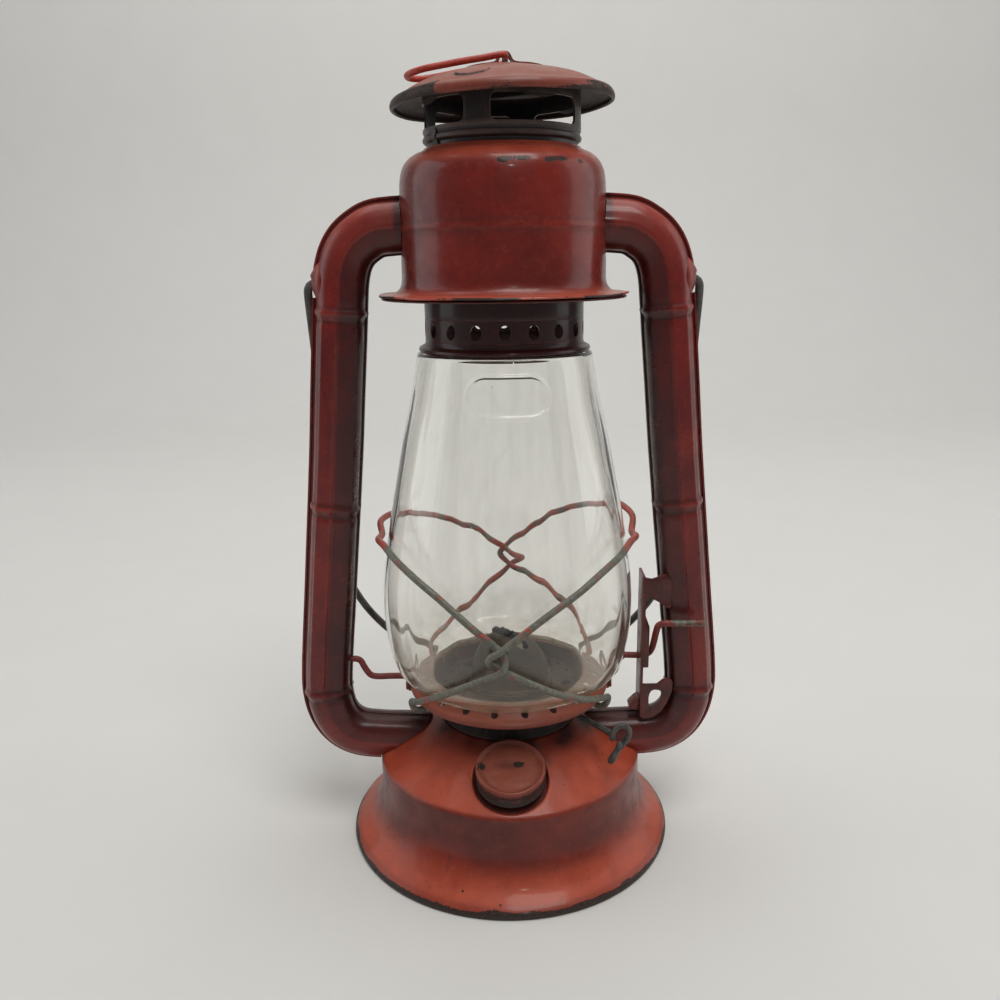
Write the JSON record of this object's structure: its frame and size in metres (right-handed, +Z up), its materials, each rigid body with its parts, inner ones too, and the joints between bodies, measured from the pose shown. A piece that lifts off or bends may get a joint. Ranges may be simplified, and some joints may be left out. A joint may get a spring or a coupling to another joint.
{
  "type": "cold-blast tubular oil lantern",
  "caption": "Tubular oil lantern with a flared round fount, clear glass globe in crossed wire guards, seamed side air tubes, hood with capped chimney and a wire bail.",
  "frame": {"origin": "on the table under the middle of the round base", "axes": "+Z up, the filler cap faces -Y, the lift thumb piece is on +X"},
  "size_m": [0.1768, 0.1366, 0.3117],
  "materials": {
    "red_enamel": "worn gloss deep red enamel, darker in the folds",
    "orange_enamel": "sun-faded orange-red enamel with chips and specks",
    "soot_metal": "sooty black-brown, matt",
    "bare_wire": "dull grey-green steel wire with paint remnants",
    "black_wire": "black, slightly rusty steel wire",
    "burner_brass": "dark tarnished brass",
    "clear_glass": "clear glass, faintly dusty",
    "cork": "aged sealing disc",
    "cotton": "woven cotton, charred at the top"
  },
  "bodies": {
    "frame": {"fount_shell": "orange_enamel", "fount_floor": "red_enamel", "fount_deck": "red_enamel", "filler_neck": "red_enamel", "burner_collar": "burner_brass", "burner_base": "burner_brass", "burner_gallery": "soot_metal", "wick_tube": "burner_brass", "air_chamber_ring": "soot_metal", "left_tube_front": "red_enamel", "left_tube_rear": "red_enamel", "right_tube_front": "red_enamel", "right_tube_rear": "red_enamel", "left_bail_ear": "red_enamel", "right_bail_ear": "red_enamel", "hood_shell": "orange_enamel", "hood_floor": "red_enamel", "lift_bracket": "red_enamel", "chimney_spring": "bare_wire"},
    "bail": {"bail": "black_wire"},
    "carriage": {"globe_plate": "red_enamel", "globe": "clear_glass", "guard_wire_left": "bare_wire", "guard_wire_right": "bare_wire"},
    "lift_crank": {"lift_wire": "bare_wire"},
    "guide_crank": {"guide_wire": "bare_wire"},
    "chimney": {"chimney_tube": "soot_metal", "chimney_cap": "orange_enamel", "globe_holder_bell": "red_enamel", "ring_clip": "orange_enamel"},
    "pull_ring": {"pull_ring": "red_enamel"},
    "cap_seal": {"cap_gasket": "cork"},
    "filler_cap": {"filler_cap": "orange_enamel"},
    "wick_raiser": {"wick_shaft": "black_wire", "spur_wheel_a": "burner_brass", "spur_wheel_b": "burner_brass"},
    "wick": {"wick": "cotton"},
    "burner_cone": {"burner_cone": "soot_metal"}
  },
  "joints": [
    {"name": "bail_swing", "type": "hinge", "parent": "frame", "child": "bail", "pos_m": [0, 0, 0.232], "axis": [1, 0, 0], "range_deg": [0, 290]},
    {"name": "lift_turn", "type": "hinge", "parent": "frame", "child": "lift_crank", "pos_m": [0, 0, 0.07635], "axis": [1, 0, 0], "range_deg": [0, 80]},
    {"name": "guide_turn", "type": "hinge", "parent": "frame", "child": "guide_crank", "pos_m": [0, 0, 0.07635], "axis": [1, 0, 0], "range_deg": [0, 80.5]},
    {"name": "globe_lift", "type": "slide", "parent": "frame", "child": "carriage", "axis": [0, 0, 1], "range_m": [0, 0.0067]},
    {"name": "chimney_lift", "type": "slide", "parent": "carriage", "child": "chimney", "axis": [0, 0, 1], "range_m": [0, 0.016], "stiffness_N_per_m": 120, "springref_m": -0.02, "deforming": ["chimney_spring"]},
    {"name": "ring_swing", "type": "hinge", "parent": "chimney", "child": "pull_ring", "pos_m": [0.0015, 0, 0.3096], "axis": [0, 1, 0], "range_deg": [0, 185]},
    {"name": "cap_lift", "type": "slide", "parent": "frame", "child": "cap_seal", "axis": [0, -0.3256, 0.9455], "range_m": [0, 0.0075]},
    {"name": "cap_turn", "type": "hinge", "parent": "cap_seal", "child": "filler_cap", "pos_m": [0, -0.0432, 0.0503], "axis": [0, -0.3256, 0.9455], "continuous": true},
    {"name": "wick_turn", "type": "hinge", "parent": "frame", "child": "wick_raiser", "pos_m": [0.00417, 0.00417, 0.0621], "axis": [0.7041, -0.7041, -0.0924], "range_deg": [-120, 60]},
    {"name": "wick_slide", "type": "slide", "parent": "frame", "child": "wick", "axis": [0, 0, 1], "range_m": [-0.00418, 0.00837]},
    {"name": "cone_lift", "type": "slide", "parent": "frame", "child": "burner_cone", "axis": [0, 0, 1], "range_m": [0, 0.018]}
  ],
  "couplings": [
    {"joint": "lift_turn", "follows": "globe_lift", "rad_per_m": 208.39},
    {"joint": "guide_turn", "follows": "globe_lift", "rad_per_m": 208.39},
    {"joint": "wick_turn", "follows": "wick_slide", "rad_per_m": -250}
  ]
}
